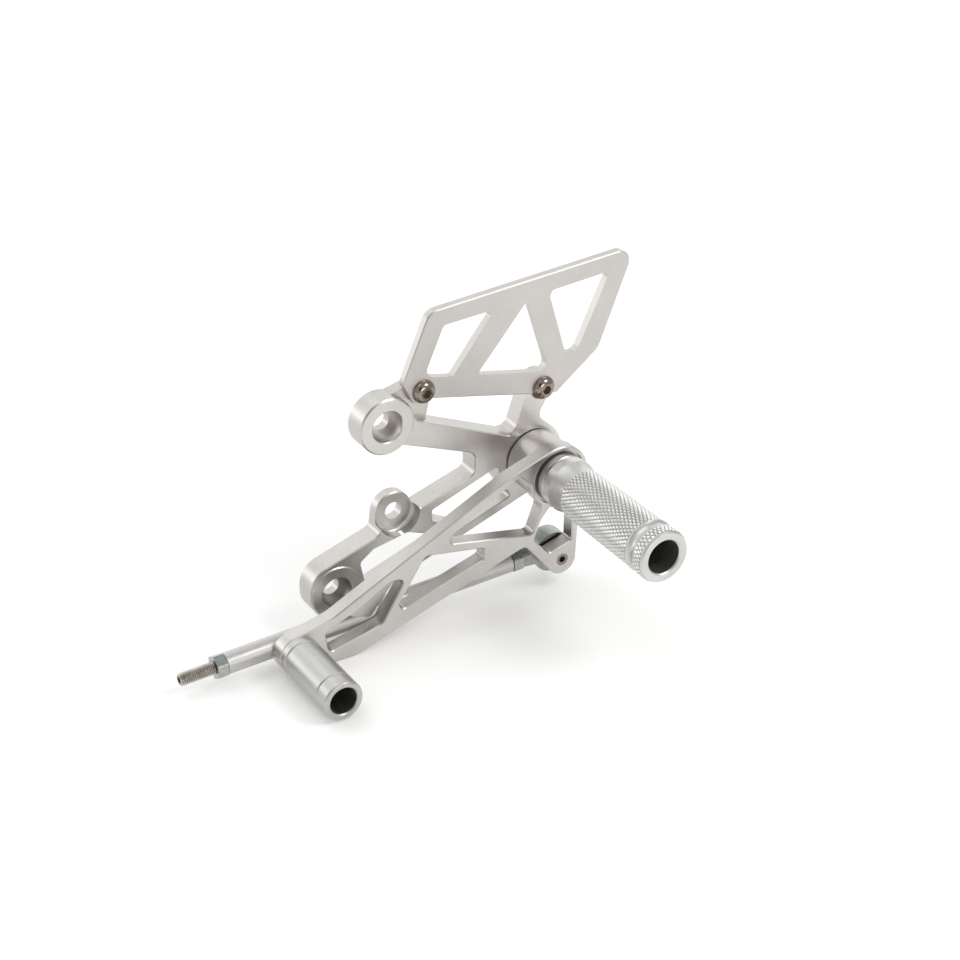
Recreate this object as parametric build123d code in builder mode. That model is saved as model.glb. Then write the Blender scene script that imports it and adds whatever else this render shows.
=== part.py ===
"""Left-hand rear-set footrest: a milled hanger that carries a fixed foot peg, a heel guard and a
shift lever, with the shift rod hanging from the lever's rod end.

Millimetres. +X points rearward, -Y outboard along the pegs, +Z up. The origin is on the foot-peg
axis, in the hanger's inboard face, which is the face that lies against the motorbike's frame.
"""

import os
from math import acos, atan2, cos, hypot, radians, sin

from build123d import *

os.makedirs("parts", exist_ok=True)

# Running fits, and the small gaps between fixed pieces
running_gap = 0.04
thread_gap = 0.05
bolt_gap = 0.25
seat_gap = 0.3

# Hanger plate
plate_t = 11.0
boss_t = 11.5
body_r = 16.6
raised_r = 14.8
ear_t = 5.0
ear_r = 9.3
ear_cut_r = 10.6
upper_boss = (-76.3, 37.0)
lower_boss = (-104.0, -39.5)
ear = (-71.0, -10.0)
boss_r = 13.6
lower_boss_r = 13.2
frame_bolt_r = 4.25
counterbore_r = 7.5
counterbore_depth = 7.0
counterbore_edge = 0.4
plate_edge = 0.5
boss_edge = 0.7
boss_blend_r = 8.0
body_blend_r = 7.0
ear_blend_r = 2.0

# Arms of the hanger's truss
strut_w = 4.3
upper_arm_slope = -0.445
upper_arm_top_at_hub = 8.85
rear_arm_t = 9.0

# Heel guard and its seats
guard_t = 4.0
guard_seat_t = 6.3
front_seat = (-57.4, 49.2)
rear_seat = (5.5, 34.2)
front_seat_r = 7.0
rear_seat_r = 6.5
rear_spot_r = 6.2
guard_ear_r = 5.4
guard_edge = 0.5

# Button head screws of the heel guard
guard_screw_r = 3.0
guard_screw_len = 10.0
button_r = 5.6
button_h = 3.3
button_flat_r = 2.9
button_socket_af = 4.0
button_socket_depth = 2.0

# Pivot stack, from the hanger's pad outwards
pivot_gap = 0.7
seal_t = 0.6
seal_r = 13.9
hub_len = 21.8
hub_r = 15.2
hub_tube_r = 14.2
hub_recess_r = 13.5
hub_recess_depth = 2.0
hub_bore_r = 10.5
sleeve_r = 9.0
flange_r = 12.4
flange_edge = 0.4
flange_t = 6.1
axial_play = 0.2
bush_len = 8.0
peg_washer_t = 1.0
peg_washer_r = 10.2

# Foot peg
peg_len = 76.3
peg_face_r = 11.7
peg_ring_r = 12.2
peg_ring_len = 6.6
peg_waist_r = 11.7
peg_lip_r = 12.6
peg_lip_w = 0.4
peg_grip_start = 11.7
peg_grip_r = 11.85
peg_grip_end_r = 11.55
peg_cone_r = 11.4
peg_cone_len = 8.3
peg_collar_r = 12.7
peg_collar_len = 4.8
peg_bore_r = 8.0
peg_floor_t = 16.3
peg_bolt_r = 4.0
peg_bolt_head_r = 6.5
peg_bolt_head_h = 8.0
peg_bolt_socket_af = 6.0
peg_bolt_socket_depth = 4.0

# Shift lever
lever_t = 7.0
lever_edge = 0.5
toe = (-135.2, -49.5)
toe_boss_r = 9.3
lug = (2.3, -44.5)
lug_r = 7.6
lever_top_bend_r = 40.0
lever_top_end_r = 20.0
lever_low_bend_r = 22.0
lever_top_bend = (-27.0, 7.2)
lever_top_end = (-118.5, -36.4)
lever_low_bend = (-107.0, -59.8)
lever_low_end = (-18.0, -31.2)
facet_edge = ((-109.6, -37.9), (-90.0, -27.0))
facet_depth = 4.5

# Toe peg
toe_len = 41.0
toe_face_r = 8.5
toe_ring_r = 9.3
toe_ring_len = 7.6
toe_groove_r = 8.8
toe_groove_w = 1.2
toe_collar_len = 3.6
toe_bore_r = 6.45
toe_floor_t = 9.0
toe_bolt_r = 3.0
toe_bolt_head_r = 5.0
toe_bolt_head_h = 6.0
toe_bolt_socket_af = 5.0
toe_bolt_socket_depth = 3.0

# Rod end on its stud
stud_r = 3.0
stud_socket_af = 3.0
stud_socket_depth = 3.0
spacer_t = 0.5
spacer_r = 4.6
ball_r = 6.35
ball_w = 9.6
eye_r = 10.0
eye_w = 8.4
neck_r = 4.6
neck_root_r = 6.2
neck_end = 16.4
rod_thread_in = 18.0
lug_nut_af = 10.0
lug_nut_t = 3.8

# Shift rod, with distances along it from the ball's centre
rod_slope_deg = 2.0
rod_r = 5.0
jam_nut_af = 10.0
jam_nut_t = 5.0
rod_len = 146.8
rod_drill = 22.0
tip_stud_out = 16.6
tip_stud_in = 15.0
tip_stud_end_r = 2.5
tip_socket_depth = 4.0

# Places worked out from the sizes above, outward distances counted along -Y
hub_back = plate_t + pivot_gap
hub_front = hub_back + hub_len
lever_back = hub_front - lever_t
recess_floor = hub_front - hub_recess_depth
flange_back = recess_floor + axial_play
flange_front = flange_back + flange_t
peg_back = flange_front + peg_washer_t
peg_face = peg_back + peg_len
peg_bolt_seat = peg_back + peg_floor_t
peg_cone_start = peg_back + peg_collar_len + peg_cone_len
guard_front = guard_seat_t + guard_t
toe_face = hub_front + toe_len
toe_bolt_seat = hub_front + toe_floor_t
rod_out = lever_back - spacer_t - ball_w / 2


def outboard(distance):
    """Plane parallel to the hanger, at a distance outboard of its inboard face."""
    return Plane.XZ.offset(distance)


def by(centre, dx, dz):
    """Point at an offset from a centre in the hanger's plane."""
    return (centre[0] + dx, centre[1] + dz)


def turning_plane(centre):
    """Plane for half profiles (radius, -distance outboard) of pieces turned about a pivot line."""
    return Plane(origin=(centre[0], 0, centre[1]), x_dir=(1, 0, 0), z_dir=(0, 0, 1))


def turning_axis(centre):
    return Axis((centre[0], 0, centre[1]), (0, 1, 0))


def hex_corner_r(across_flats):
    return across_flats / 2 / cos(radians(30))


def outer_tangent(a, a_r, b, b_r, side):
    """Ends of the line that touches two circles on one side: 1 is left of the way a to b."""
    run, rise = b[0] - a[0], b[1] - a[1]
    turn = atan2(rise, run) + side * acos((a_r - b_r) / hypot(run, rise))
    return (
        (a[0] + a_r * cos(turn), a[1] + a_r * sin(turn)),
        (b[0] + b_r * cos(turn), b[1] + b_r * sin(turn)),
    )


hub = (0.0, 0.0)

# The lower strut's bottom edge touches the body round the pivot and the lower boss
strut_at_hub, strut_at_boss = outer_tangent(hub, body_r, lower_boss, lower_boss_r, 1)
strut_slope = (strut_at_hub[1] - strut_at_boss[1]) / (strut_at_hub[0] - strut_at_boss[0])
strut_rise = strut_w * hypot(1, strut_slope)


def strut_line(x):
    """Height of the lower strut's top edge."""
    return strut_at_hub[1] + strut_slope * (x - strut_at_hub[0]) + strut_rise


def upper_arm_line(x):
    """Height of the upper arm's top edge."""
    return upper_arm_top_at_hub + upper_arm_slope * x


def guard_bottom_line(x):
    """Height of the heel guard's straight bottom edge."""
    left, right = by(front_seat, 0, -3.7), by(rear_seat, 0, -3.3)
    return left[1] + (right[1] - left[1]) * (x - left[0]) / (right[0] - left[0])


ear_foot = by(ear, -10.2, -6.8)
rear_arm_foot_x = -body_r + 7.0

# Where the fillets between arm, boss and body run
arm_at_boss = (-62.7, 36.8)
arm_at_body = (-8.0, 12.4)

# Corners of the hanger's windows beside the body, the ear's bay and the lower boss
window_tip = (-body_r - 2.0, 0.2)
window_side = (-body_r - 0.8, -8.5)
window_low_x = -body_r + 4.6
window_bend_x = -38.2
window_left_x = -53.9
rear_cut_x = body_r + 3
bay_end_x = -31.3
lower_window_end_x = -44.9

# Hanger
with BuildPart() as hanger:
    with BuildSketch(outboard(0)) as hanger_outline:
        with BuildLine():
            FilletPolyline(
                by(upper_boss, 10.3, 0.8),
                (rear_arm_foot_x, upper_arm_line(rear_arm_foot_x)),
                by(rear_seat, -7.2, 1.3),
                by(rear_seat, 5.8, -2.6),
                by(rear_seat, -2.4, -14.6),
                (11.4, 11.0),
                hub,
                strut_at_hub,
                strut_at_boss,
                lower_boss,
                by(lower_boss, -lower_boss_r, 0),
                by(lower_boss, -lower_boss_r, 11.4),
                ear_foot,
                by(ear, -ear_r, 0.5),
                ear,
                by(ear, 8.0, 4.5),
                by(ear, 9.8, 0.7),
                (bay_end_x, 0.0),
                (bay_end_x, 10.8),
                by(upper_boss, 6.3, -10.6),
                radius=[0, 5, 2, 0, 6, 0, 0, 0, 0, 0, 0, 12, 4, 0, 0, 0, 2, 4, 4, 0],
                close=True,
            )
        make_face()
        with Locations(hub):
            Circle(body_r)
        with Locations(upper_boss):
            Circle(boss_r)
        with Locations(lower_boss):
            Circle(lower_boss_r)
        fillet(hanger_outline.vertices().sort_by_distance(arm_at_boss)[0], boss_blend_r)
    extrude(amount=plate_t)
    # Windows of the truss
    with BuildSketch(outboard(0)):
        with BuildLine():
            FilletPolyline(
                (window_left_x, -12.3),
                window_tip,
                window_side,
                (window_low_x, strut_line(window_low_x)),
                (window_bend_x, strut_line(window_bend_x)),
                (window_left_x, -18.2),
                radius=[1.2, 1.2, 6, 1.5, 1.5, 1.5],
                close=True,
            )
        make_face()
    extrude(amount=plate_t, mode=Mode.SUBTRACT)
    with BuildSketch(outboard(0)):
        with BuildLine():
            FilletPolyline(
                by(lower_boss, 12.4, 11.2),
                by(lower_boss, 19.7, 16.3),
                by(ear, 4.6, -9.9),
                (lower_window_end_x, strut_line(lower_window_end_x)),
                (lower_boss[0] + 15.5, strut_line(lower_boss[0] + 15.5)),
                radius=[2.5, 4, 3, 1.2, 3],
                close=True,
            )
        make_face()
    extrude(amount=plate_t, mode=Mode.SUBTRACT)
    chamfer(hanger.faces().sort_by(Axis.Y)[0].edges(), plate_edge)
    # The rear arm is milled thinner than the plate, down to the upper arm's top edge and round
    # the body of the pivot
    with BuildSketch(outboard(rear_arm_t)) as rear_arm_cut:
        with BuildLine():
            Polyline(
                (bay_end_x - 0.7, upper_arm_line(bay_end_x - 0.7)),
                (rear_cut_x, upper_arm_line(rear_cut_x)),
                (rear_cut_x, rear_seat[1] + 10),
                by(rear_seat, -14, 10),
                close=True,
            )
        make_face()
        Circle(raised_r, mode=Mode.SUBTRACT)
        fillet(rear_arm_cut.vertices().sort_by_distance(arm_at_body)[0], body_blend_r)
    extrude(amount=plate_t - rear_arm_t, mode=Mode.SUBTRACT)
    # Bosses for the frame bolts, a little proud of the plate and bevelled at the rim
    for start, height, draft in ((0, boss_t - boss_edge, 0), (boss_t - boss_edge, boss_edge, 45)):
        with BuildSketch(outboard(start)):
            with Locations(upper_boss):
                Circle(boss_r)
            with Locations(lower_boss):
                Circle(lower_boss_r)
        extrude(amount=height, taper=draft)
    # The ear is spot-faced down to a thin lug by a cutter with a rounded corner
    with BuildSketch(turning_plane(ear)):
        with BuildLine():
            Polyline((0, -plate_t), (0, -ear_t), (ear_cut_r - ear_blend_r, -ear_t))
            RadiusArc(
                (ear_cut_r - ear_blend_r, -ear_t),
                (ear_cut_r, -ear_t - ear_blend_r),
                ear_blend_r,
            )
            Polyline((ear_cut_r, -ear_t - ear_blend_r), (ear_cut_r, -plate_t), (0, -plate_t))
        make_face()
    revolve(axis=turning_axis(ear), mode=Mode.SUBTRACT)
    for start, height, draft in ((0, ear_t - plate_edge, 0), (ear_t - plate_edge, plate_edge, 45)):
        with BuildSketch(outboard(start)):
            with Locations(ear):
                Circle(ear_r)
        extrude(amount=height, taper=draft)
    # Seat for the heel guard's front screw, beside the upper boss
    with BuildSketch(outboard(0)):
        with BuildLine():
            FilletPolyline(
                by(upper_boss, 0, 6),
                by(upper_boss, 4.5, 12.9),
                by(front_seat, -5.8, 2.8),
                by(front_seat, -2.4, 6.4),
                by(front_seat, 6.6, -2.0),
                (front_seat[0] + 3.0, upper_arm_line(front_seat[0] + 3.0)),
                (front_seat[0] + 6.0, upper_arm_line(front_seat[0] + 6.0) - 3.0),
                by(upper_boss, 6, -2),
                radius=[0, 0, 3, 0, 0, 0, 0, 0],
                close=True,
            )
        make_face()
        with Locations(front_seat):
            Circle(front_seat_r)
    extrude(amount=guard_seat_t)
    # Seat for the rear screw: the top of the rear arm is cut back to the same thickness, up to
    # the guard's bottom edge and a spot face round the screw
    with BuildSketch(outboard(guard_seat_t)):
        with BuildLine():
            Polyline(
                (rear_seat[0] - 14, guard_bottom_line(rear_seat[0] - 14) - seat_gap),
                (rear_seat[0] + 12, guard_bottom_line(rear_seat[0] + 12) - seat_gap),
                by(rear_seat, 12, 12),
                by(rear_seat, -14, 12),
                close=True,
            )
        make_face()
        with Locations(rear_seat):
            Circle(rear_spot_r)
    extrude(amount=plate_t - guard_seat_t, mode=Mode.SUBTRACT)
    with BuildSketch(outboard(0)):
        with Locations(rear_seat):
            Circle(rear_seat_r)
    extrude(amount=guard_seat_t)
    # Holes: frame bolts with counterbores, the ear's bolt, the peg's bolt and the guard's screws
    with BuildSketch(outboard(0)):
        with Locations(upper_boss, lower_boss, ear):
            Circle(frame_bolt_r)
    extrude(amount=boss_t, mode=Mode.SUBTRACT)
    with BuildSketch(outboard(boss_t - counterbore_depth)):
        with Locations(upper_boss, lower_boss):
            Circle(counterbore_r)
    extrude(amount=counterbore_depth, mode=Mode.SUBTRACT)
    with BuildSketch(outboard(boss_t - counterbore_edge)):
        with Locations(upper_boss, lower_boss):
            Circle(counterbore_r)
    extrude(amount=counterbore_edge, taper=-45, mode=Mode.SUBTRACT)
    with BuildSketch(outboard(0)):
        Circle(peg_bolt_r + thread_gap)
    extrude(amount=plate_t, mode=Mode.SUBTRACT)
    with BuildSketch(outboard(0)):
        with Locations(front_seat, rear_seat):
            Circle(guard_screw_r + thread_gap)
    extrude(amount=guard_seat_t, mode=Mode.SUBTRACT)
hanger.part.label = "hanger"
export_step(hanger.part, "parts/hanger.step")

# Heel guard: one plate with three windows, screwed to the two seats
guard_top_left = (-53.9, 86.4)
guard_top_right = (54.6, 92.9)
guard_right_bend = (35.6, 46.6)
with BuildPart() as heel_guard:
    with BuildSketch(outboard(guard_seat_t)):
        with BuildLine():
            FilletPolyline(
                guard_top_left,
                guard_top_right,
                guard_right_bend,
                by(rear_seat, 7.6, -4.6),
                (rear_seat[0], guard_bottom_line(rear_seat[0])),
                (front_seat[0], guard_bottom_line(front_seat[0])),
                by(front_seat, -5.4, -4.8),
                by(front_seat, -10.2, 5.6),
                radius=[6.5, 6, 10, 1, 0, 0, 1.5, 5],
                close=True,
            )
        make_face()
        with Locations(front_seat, rear_seat):
            Circle(guard_ear_r)
        with Locations(front_seat, rear_seat):
            Circle(guard_screw_r + bolt_gap, mode=Mode.SUBTRACT)
        with BuildLine():
            FilletPolyline(
                (-46.8, 78.6),
                (-20.3, 79.8),
                (-42.4, 52.3),
                (-57.0, 55.9),
                radius=[2.5, 2.0, 1.5, 4],
                close=True,
            )
        make_face(mode=Mode.SUBTRACT)
        with BuildLine():
            FilletPolyline(
                (-3.3, 80.4),
                (8.8, 41.4),
                (-29.8, 49.9),
                radius=[1.7, 4, 1.2],
                close=True,
            )
        make_face(mode=Mode.SUBTRACT)
        with BuildLine():
            FilletPolyline(
                (7.7, 81.7),
                (40.8, 83.9),
                (19.7, 40.1),
                radius=[3, 2.2, 4.4],
                close=True,
            )
        make_face(mode=Mode.SUBTRACT)
    extrude(amount=guard_t)
    chamfer(heel_guard.faces().sort_by(Axis.Y)[0].outer_wire().edges(), guard_edge)
heel_guard.part.label = "heel_guard"
export_step(heel_guard.part, "parts/heel_guard.step")

# Button head screws of the heel guard
for name, seat in (("front", front_seat), ("rear", rear_seat)):
    with BuildPart() as screw:
        with BuildSketch(turning_plane(seat)):
            with BuildLine():
                Line((0, -guard_front - button_h), (button_flat_r, -guard_front - button_h))
                dome = ThreePointArc(
                    (button_flat_r, -guard_front - button_h),
                    (button_r * 0.86, -guard_front - button_h * 0.62),
                    (button_r, -guard_front),
                )
                Polyline(
                    dome @ 1,
                    (guard_screw_r, -guard_front),
                    (guard_screw_r, -guard_front + guard_screw_len),
                    (0, -guard_front + guard_screw_len),
                    (0, -guard_front - button_h),
                )
            make_face()
        revolve(axis=turning_axis(seat))
        with BuildSketch(outboard(guard_front + button_h - button_socket_depth)):
            with Locations(seat):
                RegularPolygon(hex_corner_r(button_socket_af), 6)
        extrude(amount=button_socket_depth, mode=Mode.SUBTRACT)
    screw.part.label = "heel_guard_screw_" + name
    export_step(screw.part, "parts/heel_guard_screw_" + name + ".step")

# Dark seal ring between the hub and the hanger
with BuildPart() as pivot_seal:
    with BuildSketch(outboard(plate_t)):
        Circle(seal_r)
        Circle(sleeve_r + seat_gap, mode=Mode.SUBTRACT)
    extrude(amount=seal_t)
pivot_seal.part.label = "pivot_seal"
export_step(pivot_seal.part, "parts/pivot_seal.step")

# Flanged sleeve that the lever turns on
with BuildPart() as pivot_sleeve:
    with BuildSketch(outboard(plate_t)):
        Circle(sleeve_r)
        Circle(peg_bolt_r + bolt_gap, mode=Mode.SUBTRACT)
    extrude(amount=flange_front - plate_t)
    with BuildSketch(outboard(flange_back)):
        Circle(flange_r)
        Circle(sleeve_r, mode=Mode.SUBTRACT)
    extrude(amount=flange_t)
    chamfer(pivot_sleeve.edges().filter_by(GeomType.CIRCLE).group_by(Axis.Y)[0].sort_by(
        SortBy.RADIUS)[-1], flange_edge)
pivot_sleeve.part.label = "pivot_sleeve"
export_step(pivot_sleeve.part, "parts/pivot_sleeve.step")

# Plain bushes pressed into the lever's hub
bush_places = {"inner": hub_back, "outer": recess_floor - bush_len}
for name, start in bush_places.items():
    with BuildPart() as bush:
        with BuildSketch(outboard(start)):
            Circle(hub_bore_r)
            Circle(sleeve_r + running_gap, mode=Mode.SUBTRACT)
        extrude(amount=bush_len)
    bush.part.label = "lever_bush_" + name
    export_step(bush.part, "parts/lever_bush_" + name + ".step")

# Washer between the sleeve's flange and the peg
with BuildPart() as peg_washer:
    with BuildSketch(outboard(flange_front)):
        Circle(peg_washer_r)
        Circle(peg_bolt_r + bolt_gap, mode=Mode.SUBTRACT)
    extrude(amount=peg_washer_t)
peg_washer.part.label = "peg_washer"
export_step(peg_washer.part, "parts/peg_washer.step")

# Foot peg, turned from one bar: end ring, hollow waist with a lip, grip, cone and collar
with BuildPart() as foot_peg:
    with BuildSketch(turning_plane(hub)):
        with BuildLine():
            Polyline(
                (peg_bore_r + 0.6, -peg_face),
                (peg_face_r, -peg_face),
                (peg_ring_r, -peg_face + 0.9),
                (peg_ring_r, -peg_face + peg_ring_len),
            )
            ThreePointArc(
                (peg_ring_r, -peg_face + peg_ring_len),
                (peg_waist_r, -peg_face + (peg_ring_len + peg_grip_start - peg_lip_w) / 2),
                (peg_lip_r, -peg_face + peg_grip_start - peg_lip_w),
            )
            Polyline(
                (peg_lip_r, -peg_face + peg_grip_start - peg_lip_w),
                (peg_lip_r, -peg_face + peg_grip_start),
                (peg_grip_r, -peg_face + peg_grip_start),
                (peg_grip_end_r, -peg_cone_start),
                (peg_cone_r, -peg_cone_start),
            )
            ThreePointArc(
                (peg_cone_r, -peg_cone_start),
                ((peg_cone_r + peg_collar_r) / 2 - 0.25, -peg_cone_start + peg_cone_len / 2),
                (peg_collar_r, -peg_cone_start + peg_cone_len),
            )
            Polyline(
                (peg_collar_r, -peg_cone_start + peg_cone_len),
                (peg_collar_r, -peg_back),
                (peg_bolt_r + bolt_gap, -peg_back),
                (peg_bolt_r + bolt_gap, -peg_bolt_seat),
                (peg_bore_r, -peg_bolt_seat),
                (peg_bore_r, -peg_face + 0.6),
                (peg_bore_r + 0.6, -peg_face),
            )
        make_face()
    revolve(axis=turning_axis(hub))
foot_peg.part.label = "foot_peg"
export_step(foot_peg.part, "parts/foot_peg.step")


def socket_screw_profile(under_head, head_r, head_h, shank_r, shank_len):
    """Half profile of a socket head screw whose head lies outboard of under_head."""
    return (
        (0, -under_head - head_h),
        (head_r - 0.5, -under_head - head_h),
        (head_r, -under_head - head_h + 0.5),
        (head_r, -under_head),
        (shank_r, -under_head),
        (shank_r, -under_head + shank_len - 0.6),
        (shank_r - 0.6, -under_head + shank_len),
        (0, -under_head + shank_len),
    )


# Bolt that holds peg, washer and sleeve to the hanger
with BuildPart() as foot_peg_bolt:
    with BuildSketch(turning_plane(hub)):
        with BuildLine():
            Polyline(
                *socket_screw_profile(
                    peg_bolt_seat, peg_bolt_head_r, peg_bolt_head_h, peg_bolt_r, peg_bolt_seat
                ),
                close=True,
            )
        make_face()
    revolve(axis=turning_axis(hub))
    with BuildSketch(outboard(peg_bolt_seat + peg_bolt_head_h - peg_bolt_socket_depth)):
        RegularPolygon(hex_corner_r(peg_bolt_socket_af), 6)
    extrude(amount=peg_bolt_socket_depth, mode=Mode.SUBTRACT)
foot_peg_bolt.part.label = "foot_peg_bolt"
export_step(foot_peg_bolt.part, "parts/foot_peg_bolt.step")

# Shift lever: a flat truss with four windows, between the hub, the toe boss and the rod-end lug
top_at_hub = outer_tangent(hub, hub_r, lever_top_bend, 0, -1)[0]
top_at_toe = outer_tangent(toe, toe_boss_r, lever_top_end, 0, 1)[0]
low_at_toe = outer_tangent(toe, toe_boss_r, lever_low_bend, 0, -1)[0]
bent_window_top = (-86.5, -26.8)
bent_window_corner = (-97.1, -45.1)


def deep(point, distance):
    """Point in space from one in the hanger's plane, at a distance outboard."""
    return Vector(point[0], -distance, point[1])


# Solid over the sloped facet that falls from the top band to the bent window's inner corner
with BuildPart() as toe_facet:
    with BuildSketch(outboard(lever_back)):
        with BuildLine():
            Polyline(*facet_edge, bent_window_top, bent_window_corner, close=True)
        make_face()
    extrude(amount=lever_t)
    facet_start, facet_stop = (deep(point, hub_front) for point in facet_edge)
    facet_low = deep(bent_window_corner, hub_front - facet_depth)
    split(
        bisect_by=Plane(
            origin=facet_start,
            x_dir=facet_stop - facet_start,
            z_dir=(facet_low - facet_start).cross(facet_stop - facet_start),
        ),
        keep=Keep.TOP,
    )

with BuildPart() as shift_lever:
    with BuildSketch(outboard(lever_back)):
        with BuildLine():
            FilletPolyline(
                top_at_hub,
                lever_top_bend,
                lever_top_end,
                top_at_toe,
                toe,
                low_at_toe,
                lever_low_bend,
                lever_low_end,
                by(lug, -lug_r * 0.818, -lug_r * 0.575),
                lug,
                by(lug, lug_r, 1.0),
                (hub_r * 0.78, -hub_r * 0.62),
                hub,
                radius=[0, lever_top_bend_r, lever_top_end_r, 0, 0, 0, lever_low_bend_r, 3, 0, 0, 0, 0, 0],
                close=True,
            )
        make_face()
        with Locations(toe):
            Circle(toe_boss_r)
        with Locations(lug):
            Circle(lug_r)
        # Long window under the top band, up to the hub
        with BuildLine():
            FilletPolyline(
                (-57.6, -13.8),
                (-20.4, 6.5),
                (-12.0, -4.0),
                (-9.4, -13.0),
                (-14.2, -26.0),
                (-57.6, -17.3),
                radius=[1.6, 2.3, 0, 3, 2.3, 1.6],
                close=True,
            )
        make_face(mode=Mode.SUBTRACT)
        # Window above the rod-end lug
        with BuildLine():
            FilletPolyline(
                (-3.6, -13.0),
                (7.5, -11.0),
                (7.3, -35.4),
                (-4.9, -39.0),
                (-13.2, -29.4),
                (-9.6, -20.0),
                radius=[0, 0, 1.5, 2, 2.5, 5],
                close=True,
            )
        make_face(mode=Mode.SUBTRACT)
        # Middle window
        with BuildLine():
            FilletPolyline(
                (-70.6, -19.6),
                (-39.7, -25.0),
                (-40.1, -30.7),
                (-87.9, -45.1),
                radius=[2.5, 2.2, 1.8, 2.6],
                close=True,
            )
        make_face(mode=Mode.SUBTRACT)
        # Bent window behind the toe peg
        with BuildLine():
            FilletPolyline(
                (-122.0, -42.4),
                facet_edge[0],
                bent_window_corner,
                bent_window_top,
                (-81.4, -28.8),
                (-93.0, -47.4),
                (-120.4, -53.6),
                radius=[2.2, 0, 2, 1.6, 1.8, 5, 2.4],
                close=True,
            )
        make_face(mode=Mode.SUBTRACT)
        Circle(hub_r)
    extrude(amount=lever_t)
    chamfer(shift_lever.faces().sort_by(Axis.Y)[0].edges(), lever_edge)
    with BuildSketch(outboard(hub_back)):
        Circle(hub_tube_r)
    extrude(amount=lever_back - hub_back)
    # Sloped facet beside the bent window, from the top band down to the window's inner corner
    add(toe_facet.part, mode=Mode.SUBTRACT)
    with BuildSketch(outboard(hub_back)):
        Circle(hub_bore_r)
    extrude(amount=hub_len, mode=Mode.SUBTRACT)
    with BuildSketch(outboard(recess_floor)):
        Circle(hub_recess_r)
    extrude(amount=hub_recess_depth, mode=Mode.SUBTRACT)
    with BuildSketch(outboard(lever_back)):
        with Locations(toe):
            Circle(toe_bolt_r + thread_gap)
        with Locations(lug):
            Circle(stud_r + thread_gap)
    extrude(amount=lever_t, mode=Mode.SUBTRACT)
shift_lever.part.label = "shift_lever"
export_step(shift_lever.part, "parts/shift_lever.step")

# Toe peg: collar, groove, plain barrel, groove and a rounded end ring
toe_ring_back = toe_face - toe_ring_len
toe_collar_front = hub_front + toe_collar_len
with BuildPart() as toe_peg:
    with BuildSketch(turning_plane(toe)):
        with BuildLine():
            Polyline(
                (toe_bolt_r + bolt_gap, -hub_front),
                (toe_ring_r, -hub_front),
                (toe_ring_r, -toe_collar_front),
                (toe_groove_r, -toe_collar_front - toe_groove_w * 0.3),
                (toe_groove_r, -toe_collar_front - toe_groove_w * 0.7),
                (toe_ring_r, -toe_collar_front - toe_groove_w),
                (toe_ring_r, -toe_ring_back + toe_groove_w),
                (toe_groove_r, -toe_ring_back + toe_groove_w * 0.7),
                (toe_groove_r, -toe_ring_back + toe_groove_w * 0.3),
                (toe_ring_r, -toe_ring_back),
                (toe_ring_r, -toe_face + 1.2),
            )
            ThreePointArc(
                (toe_ring_r, -toe_face + 1.2),
                (toe_ring_r - 0.25, -toe_face + 0.35),
                (toe_face_r, -toe_face),
            )
            Polyline(
                (toe_face_r, -toe_face),
                (toe_bore_r + 0.5, -toe_face),
                (toe_bore_r, -toe_face + 0.5),
                (toe_bore_r, -toe_bolt_seat),
                (toe_bolt_r + bolt_gap, -toe_bolt_seat),
                (toe_bolt_r + bolt_gap, -hub_front),
            )
        make_face()
    revolve(axis=turning_axis(toe))
toe_peg.part.label = "toe_peg"
export_step(toe_peg.part, "parts/toe_peg.step")

# Bolt at the bottom of the toe peg's bore, screwed into the lever and flush with its back
with BuildPart() as toe_peg_bolt:
    with BuildSketch(turning_plane(toe)):
        with BuildLine():
            Polyline(
                *socket_screw_profile(
                    toe_bolt_seat,
                    toe_bolt_head_r,
                    toe_bolt_head_h,
                    toe_bolt_r,
                    toe_bolt_seat - lever_back - seat_gap,
                ),
                close=True,
            )
        make_face()
    revolve(axis=turning_axis(toe))
    with BuildSketch(outboard(toe_bolt_seat + toe_bolt_head_h - toe_bolt_socket_depth)):
        with Locations(toe):
            RegularPolygon(hex_corner_r(toe_bolt_socket_af), 6)
    extrude(amount=toe_bolt_socket_depth, mode=Mode.SUBTRACT)
toe_peg_bolt.part.label = "toe_peg_bolt"
export_step(toe_peg_bolt.part, "parts/toe_peg_bolt.step")

# Stud through the lug, with the spacer, ball and nut that it carries behind the lever
ball_inboard = rod_out - ball_w / 2
nut_inboard = ball_inboard - lug_nut_t
with BuildPart() as rod_end_stud:
    with BuildSketch(outboard(nut_inboard)):
        with Locations(lug):
            Circle(stud_r)
    extrude(amount=hub_front - nut_inboard - 0.1)
    with BuildSketch(outboard(hub_front - 0.1 - stud_socket_depth)):
        with Locations(lug):
            RegularPolygon(hex_corner_r(stud_socket_af), 6)
    extrude(amount=stud_socket_depth, mode=Mode.SUBTRACT)
rod_end_stud.part.label = "rod_end_stud"
export_step(rod_end_stud.part, "parts/rod_end_stud.step")

with BuildPart() as rod_end_spacer:
    with BuildSketch(outboard(lever_back - spacer_t)):
        with Locations(lug):
            Circle(spacer_r)
            Circle(stud_r + thread_gap, mode=Mode.SUBTRACT)
    extrude(amount=spacer_t)
rod_end_spacer.part.label = "rod_end_spacer"
export_step(rod_end_spacer.part, "parts/rod_end_spacer.step")

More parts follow.
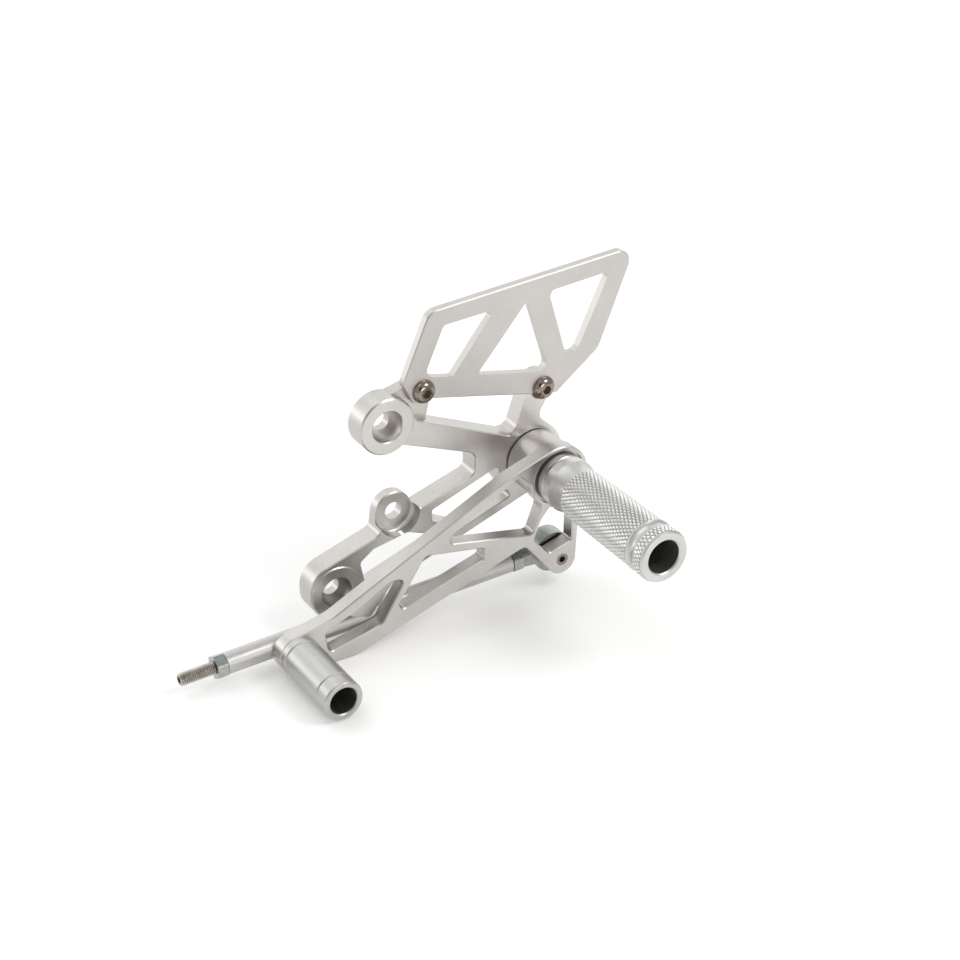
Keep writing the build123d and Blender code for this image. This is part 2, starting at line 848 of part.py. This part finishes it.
ball_face_r = (ball_r**2 - (ball_w / 2) ** 2) ** 0.5
with BuildPart() as rod_end_ball:
    with BuildSketch(turning_plane(lug)):
        with BuildLine():
            Polyline(
                (ball_face_r, -rod_out - ball_w / 2),
                (stud_r + thread_gap, -rod_out - ball_w / 2),
                (stud_r + thread_gap, -rod_out + ball_w / 2),
                (ball_face_r, -rod_out + ball_w / 2),
            )
            ThreePointArc(
                (ball_face_r, -rod_out + ball_w / 2),
                (ball_r, -rod_out),
                (ball_face_r, -rod_out - ball_w / 2),
            )
        make_face()
    revolve(axis=turning_axis(lug))
rod_end_ball.part.label = "rod_end_ball"
export_step(rod_end_ball.part, "parts/rod_end_ball.step")

with BuildPart() as rod_end_nut:
    with BuildSketch(outboard(nut_inboard)):
        with Locations(lug):
            RegularPolygon(hex_corner_r(lug_nut_af), 6)
            Circle(stud_r + thread_gap, mode=Mode.SUBTRACT)
    extrude(amount=lug_nut_t)
rod_end_nut.part.label = "rod_end_nut"
export_step(rod_end_nut.part, "parts/rod_end_nut.step")

# Shift rod line, from the ball's centre forward and slightly down
rod_dir = (-cos(radians(rod_slope_deg)), 0, -sin(radians(rod_slope_deg)))
ball_centre = Vector(lug[0], -rod_out, lug[1])


def along_rod(distance):
    """Plane square to the shift rod, facing forward, at a distance from the ball's centre."""
    return Plane(origin=ball_centre + Vector(*rod_dir) * distance, x_dir=(0, -1, 0), z_dir=rod_dir)


rear_nut_start = neck_end
rod_start = rear_nut_start + jam_nut_t
rod_end = rod_start + rod_len
front_nut_end = rod_end + jam_nut_t
tip_end = front_nut_end + tip_stud_out

# Rod end housing: eye with a ball seat, tapered neck and threaded shank
with BuildPart() as rod_end_housing:
    with BuildSketch(along_rod(0)):
        Circle(neck_root_r)
    with BuildSketch(along_rod(neck_end)):
        Circle(neck_r)
    loft()
    with BuildSketch(along_rod(neck_end)):
        Circle(stud_r)
    extrude(amount=jam_nut_t + rod_thread_in)
    split(bisect_by=outboard(rod_out + eye_w / 2), keep=Keep.BOTTOM)
    split(bisect_by=outboard(rod_out - eye_w / 2), keep=Keep.TOP)
    with BuildSketch(outboard(rod_out - eye_w / 2)):
        with Locations(lug):
            Circle(eye_r)
    extrude(amount=eye_w)
    with Locations((lug[0], -rod_out, lug[1])):
        Sphere(ball_r + running_gap, mode=Mode.SUBTRACT)
rod_end_housing.part.label = "rod_end_housing"
export_step(rod_end_housing.part, "parts/rod_end_housing.step")

# Jam nuts at both ends of the rod
for name, start in (("rear", rear_nut_start), ("front", rod_end)):
    with BuildPart() as jam_nut:
        with BuildSketch(along_rod(start)):
            RegularPolygon(hex_corner_r(jam_nut_af), 6, rotation=30)
            Circle(stud_r + thread_gap, mode=Mode.SUBTRACT)
        extrude(amount=jam_nut_t)
        with BuildSketch(along_rod(start)):
            Circle(hex_corner_r(jam_nut_af) - 0.15)
        extrude(amount=jam_nut_t, mode=Mode.INTERSECT)
    jam_nut.part.label = "jam_nut_" + name
    export_step(jam_nut.part, "parts/jam_nut_" + name + ".step")

# Shift rod: plain bar, drilled and tapped at both ends
with BuildPart() as shift_rod:
    with BuildSketch(along_rod(rod_start)):
        Circle(rod_r)
    extrude(amount=rod_len)
    chamfer(shift_rod.edges().filter_by(GeomType.CIRCLE), 0.5)
    with BuildSketch(along_rod(rod_start)):
        Circle(stud_r + thread_gap)
    extrude(amount=rod_drill, mode=Mode.SUBTRACT)
    with BuildSketch(along_rod(rod_end - rod_drill)):
        Circle(stud_r + thread_gap)
    extrude(amount=rod_drill, mode=Mode.SUBTRACT)
shift_rod.part.label = "shift_rod"
export_step(shift_rod.part, "parts/shift_rod.step")

# Stud at the rod's free end, with a socket in its tip
with BuildPart() as threaded_stud:
    with BuildSketch(along_rod(rod_end - tip_stud_in)):
        Circle(stud_r)
    extrude(amount=tip_end - rod_end + tip_stud_in)
    chamfer(threaded_stud.edges().filter_by(GeomType.CIRCLE).sort_by(Axis.X)[0], stud_r - tip_stud_end_r)
    with BuildSketch(along_rod(tip_end - tip_socket_depth)):
        RegularPolygon(hex_corner_r(stud_socket_af), 6)
    extrude(amount=tip_socket_depth, mode=Mode.SUBTRACT)
threaded_stud.part.label = "threaded_stud"
export_step(threaded_stud.part, "parts/threaded_stud.step")
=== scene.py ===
# %% [markdown]
# # Dressing a rear-set footrest
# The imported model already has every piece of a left-hand rear-set in its real size and place: the milled
# hanger, the heel guard, the two pegs, the shift lever and the shift rod. This lesson adds what makes them
# look like metal that was sawn, turned, knurled, threaded and blasted. Everything is in metres, with +X
# rearward, -Y outboard along the pegs and +Z up.

import math

import bmesh
import bpy
from mathutils import Matrix, Vector


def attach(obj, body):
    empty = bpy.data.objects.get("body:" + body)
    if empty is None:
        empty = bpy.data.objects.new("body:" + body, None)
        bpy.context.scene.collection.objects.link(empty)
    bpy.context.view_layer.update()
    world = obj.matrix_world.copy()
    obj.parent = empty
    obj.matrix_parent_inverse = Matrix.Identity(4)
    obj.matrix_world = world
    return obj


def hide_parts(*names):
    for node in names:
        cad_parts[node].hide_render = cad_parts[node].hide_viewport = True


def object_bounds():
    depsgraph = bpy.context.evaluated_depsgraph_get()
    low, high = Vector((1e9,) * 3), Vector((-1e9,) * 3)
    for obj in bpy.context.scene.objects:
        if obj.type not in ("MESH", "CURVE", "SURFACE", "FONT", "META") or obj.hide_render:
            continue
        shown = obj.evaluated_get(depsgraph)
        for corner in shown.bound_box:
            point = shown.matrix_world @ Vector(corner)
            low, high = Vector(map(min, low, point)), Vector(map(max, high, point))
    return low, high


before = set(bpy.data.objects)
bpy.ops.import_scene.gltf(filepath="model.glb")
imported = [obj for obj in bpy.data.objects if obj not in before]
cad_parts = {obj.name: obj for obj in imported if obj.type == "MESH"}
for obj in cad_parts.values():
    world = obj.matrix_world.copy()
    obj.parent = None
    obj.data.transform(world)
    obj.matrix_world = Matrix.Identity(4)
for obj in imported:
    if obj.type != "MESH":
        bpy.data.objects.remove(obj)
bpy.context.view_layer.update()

# %% [markdown]
# Sizes on a machine drawing are in millimetres and Blender works in metres. One small value turns the first
# into the second, so that the numbers below can be read like a drawing.

# %% Millimetres
mm = 0.001


def outboard(x, distance, z):
    """Point in metres from millimetres, the distance counted outwards from the hanger's inboard face."""
    return Vector((x * mm, -distance * mm, z * mm))


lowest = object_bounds()[0][2]
print("lowest point: %.1f mm" % (lowest / mm))

# %% [markdown]
# The camera comes first, because it decides what has to look good. It could be turned by hand until the
# view fits. Here its place and its direction are known, so they are written down: a long 85 mm lens, in
# front of the piece, to its left and above it.

# %% Camera
camera_data = bpy.data.cameras.new("camera")
camera_data.lens = 85
camera_data.sensor_width = 36
camera = bpy.data.objects.new("camera", camera_data)
bpy.context.scene.collection.objects.link(camera)
camera.location = Vector((-498.8, -777.6, 508.3)) * mm
looking = Vector((0.4543, 0.7408, -0.4949))
camera.rotation_euler = looking.to_track_quat("-Z", "Y").to_euler()
bpy.context.scene.camera = camera
print("camera at", [round(v, 3) for v in camera.location])

# %% [markdown]
# The floor is a large pale sheet. A curved paper sweep would also work, but from this height the floor
# alone fills the picture. It isn't part of the object.


# %% Floor
def square_sheet(name, half, height=0.0):
    """Flat square with its middle on the Z axis, half its side and its height in metres."""
    mesh = bpy.data.meshes.new(name)
    corners = [(-half, -half), (half, -half), (half, half), (-half, half)]
    mesh.from_pydata([(x, y, height) for x, y in corners], [], [(0, 1, 2, 3)])
    sheet = bpy.data.objects.new(name, mesh)
    bpy.context.scene.collection.objects.link(sheet)
    return sheet


floor = square_sheet("floor", 6.0, lowest)
print("floor at %.1f mm" % (lowest / mm))

# %% [markdown]
# Bare metal shows its surroundings, so the light matters more than the paint. Small hard lights would only
# give spots. Big soft ones give the long gentle gradients that satin aluminium has, so a wide panel stands
# behind the piece, where the tops of the arms and of the pegs mirror it. One above and one at the left
# round the shapes, and two in front are a little warmer and catch the edges. The world is a pale grey, for
# the studio's white walls.

# %% Light
bpy.context.scene.view_settings.view_transform = "Standard"
world = bpy.data.worlds.new("studio")
bpy.context.scene.world = world
world.use_nodes = True
world.node_tree.nodes["Background"].inputs["Color"].default_value = (1.0, 0.995, 0.985, 1)
world.node_tree.nodes["Background"].inputs["Strength"].default_value = 0.64


def soft_light(name, place, aim, size, watts, colour=(1, 1, 1)):
    """Rectangular area light at a place, turned towards a point, all in metres."""
    data = bpy.data.lights.new(name, "AREA")
    data.shape = "RECTANGLE"
    data.size, data.size_y = size
    data.energy = watts
    data.color = colour
    light = bpy.data.objects.new(name, data)
    bpy.context.scene.collection.objects.link(light)
    light.location = place
    light.rotation_euler = (Vector(aim) - Vector(place)).to_track_quat("-Z", "Y").to_euler()
    return light


middle = (-0.05, -0.03, 0.0)
soft_light("top_light", (-0.4, 0.5, 1.4), middle, (1.4, 1.0), 5, (0.97, 0.99, 1.0))
soft_light("back_light", (0.0, 1.5, 0.6), middle, (4.5, 1.3), 14, (0.98, 1.0, 1.0))
soft_light("left_light", (-0.95, 1.05, 0.25), middle, (0.6, 0.4), 1.0)
soft_light("front_light", (-0.1, -1.5, 0.4), middle, (0.8, 0.6), 4, (1.0, 0.94, 0.88))
soft_light("edge_light", (0.65, -0.8, 1.1), middle, (0.6, 0.6), 6)

# %% [markdown]
# A polished screw head looks polished only when it mirrors something dark. In a studio that is the unlit
# side where the camera stands, so a dark card goes up behind the camera.

# %% Dark card behind the camera
card_distance = 1.6
card = square_sheet("dark_card", 0.42)
card.location = -looking * card_distance
card.rotation_euler = looking.to_track_quat("Z", "Y").to_euler()
black_card = bpy.data.materials.new("black_card")
black_card.use_nodes = True
black_card.node_tree.nodes["Principled BSDF"].inputs["Base Color"].default_value = (0.02, 0.018, 0.016, 1)
card.data.materials.append(black_card)
print("dark card at", [round(v, 2) for v in card.location])

# %% [markdown]
# Materials are built from nodes. A plate could have one flat grey, but real metal has a fine grain, faint
# clouds and uneven gloss. One helper makes such a metal: a colour that drifts a little, a roughness that
# drifts too, and a bump from two noises. The grain can be stretched along one direction, which gives the
# look of a brush or a lathe. Faces that don't look along the pegs can be made a shade darker. This is
# painted shade on the side walls, set by the way each face points.


# %% A metal with grain
def scaled(nodes, links, colour, factor):
    """Socket with a colour multiplied by a factor, both sockets too."""
    scale = nodes.new("ShaderNodeVectorMath")
    scale.operation = "SCALE"
    links.new(colour, scale.inputs[0])
    links.new(factor, scale.inputs["Scale"])
    return scale.outputs[0]


def metal(
    name,
    dark,
    light,
    rough,
    rough_drift=0.06,
    grain=(900, 900, 900),
    bump=0.05,
    metallic=1.0,
    clouds=60,
    wall=1.0,
):
    """Metal between a dark and a light colour; grain and clouds are scales per metre, wall paints shade on the
    sides.
    """
    material = bpy.data.materials.new(name)
    material.use_nodes = True
    nodes, links = material.node_tree.nodes, material.node_tree.links
    shader = nodes["Principled BSDF"]
    shader.inputs["Metallic"].default_value = metallic
    place = nodes.new("ShaderNodeTexCoord")
    stretch = nodes.new("ShaderNodeMapping")
    stretch.inputs["Scale"].default_value = grain
    links.new(place.outputs["Object"], stretch.inputs["Vector"])
    fine = nodes.new("ShaderNodeTexNoise")
    fine.inputs["Scale"].default_value = 1.0
    fine.inputs["Detail"].default_value = 3.0
    links.new(stretch.outputs["Vector"], fine.inputs["Vector"])
    broad = nodes.new("ShaderNodeTexNoise")
    broad.inputs["Scale"].default_value = clouds
    broad.inputs["Detail"].default_value = 4.0
    links.new(place.outputs["Object"], broad.inputs["Vector"])
    mix = nodes.new("ShaderNodeMath")
    mix.operation = "MULTIPLY_ADD"
    mix.inputs[1].default_value = 0.5
    links.new(fine.outputs["Fac"], mix.inputs[0])
    half = nodes.new("ShaderNodeMath")
    half.operation = "MULTIPLY"
    half.inputs[1].default_value = 0.5
    links.new(broad.outputs["Fac"], half.inputs[0])
    links.new(half.outputs[0], mix.inputs[2])
    ramp = nodes.new("ShaderNodeValToRGB")
    ramp.color_ramp.elements[0].position = 0.3
    ramp.color_ramp.elements[0].color = (*dark, 1)
    ramp.color_ramp.elements[1].position = 0.7
    ramp.color_ramp.elements[1].color = (*light, 1)
    links.new(mix.outputs[0], ramp.inputs["Fac"])
    # Painted shade: the colour darkens as a face's normal turns away from the Y axis, down to the wall factor.
    apart = nodes.new("ShaderNodeSeparateXYZ")
    links.new(place.outputs["Normal"], apart.inputs["Vector"])
    facing_out = nodes.new("ShaderNodeMath")
    facing_out.operation = "ABSOLUTE"
    links.new(apart.outputs["Y"], facing_out.inputs[0])
    painted_side_shade = nodes.new("ShaderNodeMapRange")
    painted_side_shade.inputs["To Min"].default_value = wall
    painted_side_shade.inputs["To Max"].default_value = 1.0
    links.new(facing_out.outputs[0], painted_side_shade.inputs["Value"])
    toned = scaled(nodes, links, ramp.outputs["Color"], painted_side_shade.outputs["Result"])
    links.new(toned, shader.inputs["Base Color"])
    gloss = nodes.new("ShaderNodeMapRange")
    gloss.inputs["To Min"].default_value = rough - rough_drift
    gloss.inputs["To Max"].default_value = rough + rough_drift
    links.new(mix.outputs[0], gloss.inputs["Value"])
    links.new(gloss.outputs["Result"], shader.inputs["Roughness"])
    relief = nodes.new("ShaderNodeBump")
    relief.inputs["Strength"].default_value = bump
    relief.inputs["Distance"].default_value = 0.0002
    links.new(fine.outputs["Fac"], relief.inputs["Height"])
    links.new(relief.outputs["Normal"], shader.inputs["Normal"])
    return material


print("metal helper ready")

# %% [markdown]
# The hanger and the lever are milled from plate and finely blasted, then left bare, so they are a warm
# light grey. The lever is a shade darker and has its grain along its beams. The guard is cut from thinner
# plate with a flatter, more even look.

# %% Plate finishes
# Painted shade: wall darkens the side faces of the hanger and the lever.
milled_plate = metal(
    "milled_plate",
    (0.56, 0.54, 0.515),
    (0.70, 0.675, 0.645),
    0.36,
    grain=(700, 700, 2400),
    bump=0.08,
    wall=0.82,
)
lever_plate = metal(
    "lever_plate",
    (0.51, 0.49, 0.47),
    (0.64, 0.62, 0.595),
    0.36,
    grain=(2400, 700, 2400),
    bump=0.08,
    wall=0.92,
)
guard_plate = metal(
    "guard_plate",
    (0.53, 0.51, 0.49),
    (0.605, 0.585, 0.565),
    0.44,
    rough_drift=0.04,
    grain=(1800, 1800, 1800),
    bump=0.05,
)
print("plate finishes:", milled_plate.name, guard_plate.name)

# %% [markdown]
# The pegs are turned and clear anodised: a cooler silver, with very fine rings round the axis. The rings
# are grain that is stretched across the peg and dense along it.

# %% Turned finishes
peg_silver = metal(
    "peg_silver",
    (0.53, 0.525, 0.505),
    (0.67, 0.665, 0.64),
    0.36,
    grain=(150, 5000, 150),
    bump=0.05,
)
toe_silver = metal(
    "toe_silver",
    (0.42, 0.415, 0.405),
    (0.54, 0.535, 0.52),
    0.38,
    grain=(150, 5000, 150),
    bump=0.05,
)
rod_silver = metal(
    "rod_silver",
    (0.46, 0.45, 0.44),
    (0.59, 0.58, 0.565),
    0.38,
    grain=(250, 2500, 2500),
    bump=0.08,
)
sleeve_steel = metal(
    "sleeve_steel",
    (0.42, 0.42, 0.41),
    (0.58, 0.58, 0.57),
    0.30,
    grain=(150, 5000, 150),
    bump=0.06,
)
print("turned finishes ready")

# %% [markdown]
# A knurl's grooves look dark and its crests bright. The colour can't come from the light alone, so painted
# shade and painted highlight follow the depth: the distance from the peg's axis, corrected for the grip's
# slight taper, scales the metal's colour from a dark groove to a light crest.


# %% Knurl finish with painted groove shade
def groove_shaded_metal(name, groove_r, crest_r, taper=0.0):
    """Silver metal with painted shade from the crest to the groove, radii in mm, taper in mm of radius per mm.
    """
    material = metal(name, (0.86, 0.855, 0.84), (0.96, 0.955, 0.94), 0.26, grain=(1500, 1500, 1500), bump=0.03)
    nodes, links = material.node_tree.nodes, material.node_tree.links
    shader = nodes["Principled BSDF"]
    silver = shader.inputs["Base Color"].links[0].from_socket
    place = nodes.new("ShaderNodeTexCoord")
    apart = nodes.new("ShaderNodeSeparateXYZ")
    links.new(place.outputs["Object"], apart.inputs["Vector"])
    across = nodes.new("ShaderNodeVectorMath")
    across.operation = "MULTIPLY"
    across.inputs[1].default_value = (1, 0, 1)
    links.new(place.outputs["Object"], across.inputs[0])
    radius = nodes.new("ShaderNodeVectorMath")
    radius.operation = "LENGTH"
    links.new(across.outputs[0], radius.inputs[0])
    # Y is negative outboard, so adding it times the taper undoes the narrowing of the grip
    even = nodes.new("ShaderNodeMath")
    even.operation = "MULTIPLY_ADD"
    even.inputs[1].default_value = taper
    links.new(apart.outputs["Y"], even.inputs[0])
    links.new(radius.outputs["Value"], even.inputs[2])
    # Painted shade and highlight: the colour scales from 0.42 in the groove to full at the crest.
    depth = nodes.new("ShaderNodeMapRange")
    depth.inputs["From Min"].default_value = groove_r * mm
    depth.inputs["From Max"].default_value = crest_r * mm
    depth.inputs["To Min"].default_value = 0.42
    depth.inputs["To Max"].default_value = 1.0
    links.new(even.outputs[0], depth.inputs["Value"])
    shaded = scaled(nodes, links, silver, depth.outputs["Result"])
    links.new(shaded, shader.inputs["Base Color"])
    return material


print("knurled finish ready")

# %% [markdown]
# The small parts are steel. Zinc plating is greenish grey and a little blotchy, darker on the forged rod
# end than on the nuts. The button heads are polished, and their dark brownish colour is a painted
# reflection of the room. The long stud has a dark oxide skin.

# %% Steel, rubber and plastic finishes
zinc_steel = metal(
    "zinc_steel",
    (0.30, 0.32, 0.31),
    (0.50, 0.52, 0.50),
    0.18,
    rough_drift=0.07,
    clouds=250,
    bump=0.06,
)
# Painted reflection: the dark brownish base colour stands for the room mirrored in the polished heads.
button_steel = metal(
    "button_steel",
    (0.22, 0.18, 0.15),
    (0.34, 0.29, 0.25),
    0.09,
    rough_drift=0.03,
    bump=0.01,
    clouds=400,
)
forged_zinc = metal(
    "forged_zinc",
    (0.24, 0.255, 0.25),
    (0.40, 0.42, 0.40),
    0.28,
    rough_drift=0.07,
    clouds=250,
    bump=0.06,
)
stud_steel = metal("stud_steel", (0.32, 0.295, 0.27), (0.50, 0.47, 0.44), 0.30, rough_drift=0.08, clouds=300)
bolt_steel = metal("bolt_steel", (0.04, 0.04, 0.04), (0.09, 0.09, 0.09), 0.38, clouds=200)
# Painted shade: the near-black peg washer stands for the dark gap beside the peg's flange; the rod end's spacer
# shares it.
washer_steel = metal("washer_steel", (0.10, 0.10, 0.10), (0.18, 0.18, 0.18), 0.35, clouds=200)
bright_steel = metal(
    "bright_steel",
    (0.62, 0.62, 0.62),
    (0.74, 0.74, 0.74),
    0.16,
    rough_drift=0.04,
    clouds=200,
)
seal_rubber = metal("seal_rubber", (0.012, 0.012, 0.012), (0.03, 0.03, 0.03), 0.7, metallic=0.0, bump=0.2)
bush_plastic = metal("bush_plastic", (0.03, 0.03, 0.03), (0.06, 0.06, 0.06), 0.5, metallic=0.0, bump=0.1)
print("materials:", len(bpy.data.materials))

# %% [markdown]
# Every node of the model gets the finish of its real piece. The shapes stay as they were packed, and only
# the material in each node's slots changes.

# %% Finish for each node
finishes = {
    milled_plate: ["hanger"],
    lever_plate: ["shift_lever"],
    guard_plate: ["heel_guard"],
    peg_silver: ["foot_peg"],
    toe_silver: ["toe_peg"],
    rod_silver: ["shift_rod"],
    sleeve_steel: ["pivot_sleeve"],
    forged_zinc: ["rod_end_housing"],
    zinc_steel: ["rod_end_nut", "jam_nut_rear", "jam_nut_front"],
    button_steel: ["heel_guard_screw_front", "heel_guard_screw_rear", "rod_end_stud"],
    stud_steel: ["threaded_stud"],
    bolt_steel: ["foot_peg_bolt", "toe_peg_bolt"],
    washer_steel: ["peg_washer", "rod_end_spacer"],
    bright_steel: ["rod_end_ball"],
    seal_rubber: ["pivot_seal"],
    bush_plastic: ["lever_bush_inner", "lever_bush_outer"],
}
for finish, names in finishes.items():
    for name in names:
        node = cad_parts[name]
        node.data.materials.clear()
        node.data.materials.append(finish)
print("finished nodes:", sum(len(names) for names in finishes.values()), "of", len(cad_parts))

# %% [markdown]
# The floor is matt and almost white. It is made brighter than paper would be, by letting it shine a little,
# so that only the soft shadows of the piece are seen on it.

# %% Floor finish
floor_white = bpy.data.materials.new("floor_white")
floor_white.use_nodes = True
floor_shader = floor_white.node_tree.nodes["Principled BSDF"]
floor_shader.inputs["Roughness"].default_value = 0.9
floor_shader.inputs["Emission Color"].default_value = (1, 1, 1, 1)
floor_shader.inputs["Emission Strength"].default_value = 0.16
paper = floor_white.node_tree.nodes.new("ShaderNodeTexNoise")
paper.inputs["Scale"].default_value = 40
paper_tint = floor_white.node_tree.nodes.new("ShaderNodeValToRGB")
paper_tint.color_ramp.elements[0].color = (0.88, 0.88, 0.88, 1)
paper_tint.color_ramp.elements[1].color = (0.92, 0.92, 0.92, 1)
floor_white.node_tree.links.new(paper.outputs["Fac"], paper_tint.inputs["Fac"])
floor_white.node_tree.links.new(paper_tint.outputs["Color"], floor_shader.inputs["Base Color"])
floor.data.materials.append(floor_white)
print("floor finish:", floor_white.name)

# %% [markdown]
# Knurls, threads and hexagon sockets are one idea: rings of points round an axis, joined by faces, where
# each ring's radius may change with the angle. A bump map would be cheaper for a knurl, but it leaves the
# outline smooth, and the outline is what the eye looks for. So one helper joins any rings that it is given.


# %% Rings round an axis
def ringed(name, rings, steps_round, placing, material, body, closed=False):
    """Skin over rings (distance along Z in mm, radius in mm or a function of the angle), placed by a matrix."""
    mesh = bpy.data.meshes.new(name)
    build = bmesh.new()
    rows = []
    for along, radius in rings:
        row = []
        for j in range(steps_round):
            angle = 2 * math.pi * j / steps_round
            r = radius(angle) if callable(radius) else radius
            row.append(build.verts.new((r * math.cos(angle) * mm, r * math.sin(angle) * mm, along * mm)))
        rows.append(row)
    for low, high in zip(rows, rows[1:]):
        for j in range(steps_round):
            k = (j + 1) % steps_round
            build.faces.new((low[j], low[k], high[k], high[j]))
    if closed:
        build.faces.new(rows[-1])
    build.to_mesh(mesh)
    build.free()
    mesh.transform(placing)
    mesh.materials.append(material)
    piece = bpy.data.objects.new(name, mesh)
    bpy.context.scene.collection.objects.link(piece)
    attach(piece, body)
    return piece


def relief_rings(radius_at, start, end, steps):
    """Rings for a radius that depends on the angle and on the distance along the axis."""
    places = [start + (end - start) * i / steps for i in range(steps + 1)]
    return [(along, lambda angle, here=along: radius_at(angle, here)) for along in places]


def hexagon(across_flats):
    """Radius of a hexagon's outline at an angle."""
    sixth = math.pi / 3
    return lambda angle: across_flats / 2 / math.cos(angle % sixth - sixth / 2)


def facing(origin, z_dir, x_dir):
    """Matrix that stands a piece's Z along z_dir, with its X near x_dir."""
    z = Vector(z_dir).normalized()
    x = (Vector(x_dir) - z * z.dot(Vector(x_dir))).normalized()
    turn = Matrix((x, z.cross(x), z)).transposed().to_4x4()
    return Matrix.Translation(origin) @ turn


print("ring helper ready")

# %% [markdown]
# A diamond knurl is rolled in by two crossing sets of ridges. A ridge is a zigzag wave, and where both
# waves are high a small pyramid stands. Taking the lower of the two waves gives exactly that, and a limit
# on it makes the pyramids blunt. Both ends of the skin dip just under the plain bar, so that no gap shows.


# %% Diamond knurl
def zigzag(x):
    """Wave that is 0 at whole numbers and 1 half way between them."""
    return 1 - abs(2 * (x - math.floor(x)) - 1)


blunt, sunk_edge, groove_rise = 0.6, 0.1, 0.03


def knurl(base_at, count, pitch, depth, start, end, edge):
    """Radius function of a diamond knurl with a plain sunk edge at both ends."""

    def radius(angle, along):
        turn = angle / (2 * math.pi) * count
        height = min(blunt, zigzag(turn + along / pitch), zigzag(turn - along / pitch)) / blunt
        fade = min(1.0, (along - start) / edge, (end - along) / edge)
        return base_at(along) - sunk_edge + (sunk_edge + groove_rise + depth * height) * max(0.0, fade)

    return radius


peg_face = 115.1
grip_start, grip_end = 11.7, 63.2
grip_start_r, grip_end_r = 11.85, 11.55
grip_taper = (grip_start_r - grip_end_r) / (grip_end - grip_start)


def grip_radius(along):
    """Radius of the foot peg's plain grip at a distance from its outer face, in millimetres."""
    return grip_start_r - grip_taper * (along - grip_start)


knurl_count, knurl_pitch, knurl_steps_round = 40, 3.35, 320
grip_depth, grip_edge, grip_steps = 0.55, 0.5, 184
ring_depth, ring_edge, ring_steps = 0.5, 0.4, 20
ring_start, ring_end, ring_r = 1.2, 6.4, 12.2
groove_at_axis = grip_start_r + groove_rise - grip_taper * (peg_face - grip_start)
grip_silver = groove_shaded_metal("grip_silver", groove_at_axis, groove_at_axis + grip_depth, grip_taper)
ring_silver = groove_shaded_metal("ring_silver", ring_r + groove_rise, ring_r + ring_depth)
from_peg_face = facing(outboard(0, peg_face, 0), (0, 1, 0), (1, 0, 0))
grip_relief = knurl(grip_radius, knurl_count, knurl_pitch, grip_depth, grip_start, grip_end, grip_edge)
ring_relief = knurl(lambda along: ring_r, knurl_count, knurl_pitch, ring_depth, ring_start, ring_end, ring_edge)
grip_knurl = ringed(
    "grip_knurl",
    relief_rings(grip_relief, grip_start, grip_end, grip_steps),
    knurl_steps_round,
    from_peg_face,
    grip_silver,
    "fixed",
)
ring_knurl = ringed(
    "ring_knurl",
    relief_rings(ring_relief, ring_start, ring_end, ring_steps),
    knurl_steps_round,
    from_peg_face,
    ring_silver,
    "fixed",
)
print("knurl faces:", len(grip_knurl.data.polygons), len(ring_knurl.data.polygons))

# %% [markdown]
# The free end of the shift rod is a bare M6 stud. Its thread is a helix with a V profile: the radius
# depends only on how far a point is along the screw, counted in pitches, less its share of a turn. Only the
# outer stretch is seen, so the new piece stands for the whole plain stud of the model and starts just
# inside the nut. Its end has a bevel and a small hexagon socket.

# %% Threaded stud
thread_pitch = 1.0
thread_major, thread_minor = 3.0, 2.42
crest_sharpness = 1.12
nut_face, stud_tip = 173.2, 189.8
tip_r = 2.3
socket_across, socket_depth = 3.0, 4.0


def thread_radius(angle, along):
    """Radius of the thread in millimetres at an angle and at a distance from the ball, bevelled at the tip."""
    crest = zigzag(along / thread_pitch - angle / (2 * math.pi))
    screwed = thread_minor + (thread_major - thread_minor) * min(1.0, crest_sharpness * crest)
    return min(screwed, tip_r + (stud_tip - along))


rod_slope = math.radians(2)
rod_dir = Vector((-math.cos(rod_slope), 0, -math.sin(rod_slope)))
ball_centre = outboard(2.3, 21.2, -44.5)
from_ball = facing(ball_centre, rod_dir, (0, -1, 0))
inside_nut, stud_steps = 1.0, 178
stud_rings = relief_rings(thread_radius, nut_face - inside_nut, stud_tip, stud_steps)
socket = hexagon(socket_across)
stud_rings += [(stud_tip, socket), (stud_tip - socket_depth, socket)]
stud_thread = ringed("stud_thread", stud_rings, 48, from_ball, stud_steel, "rod", closed=True)
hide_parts("threaded_stud")
print("thread faces:", len(stud_thread.data.polygons))
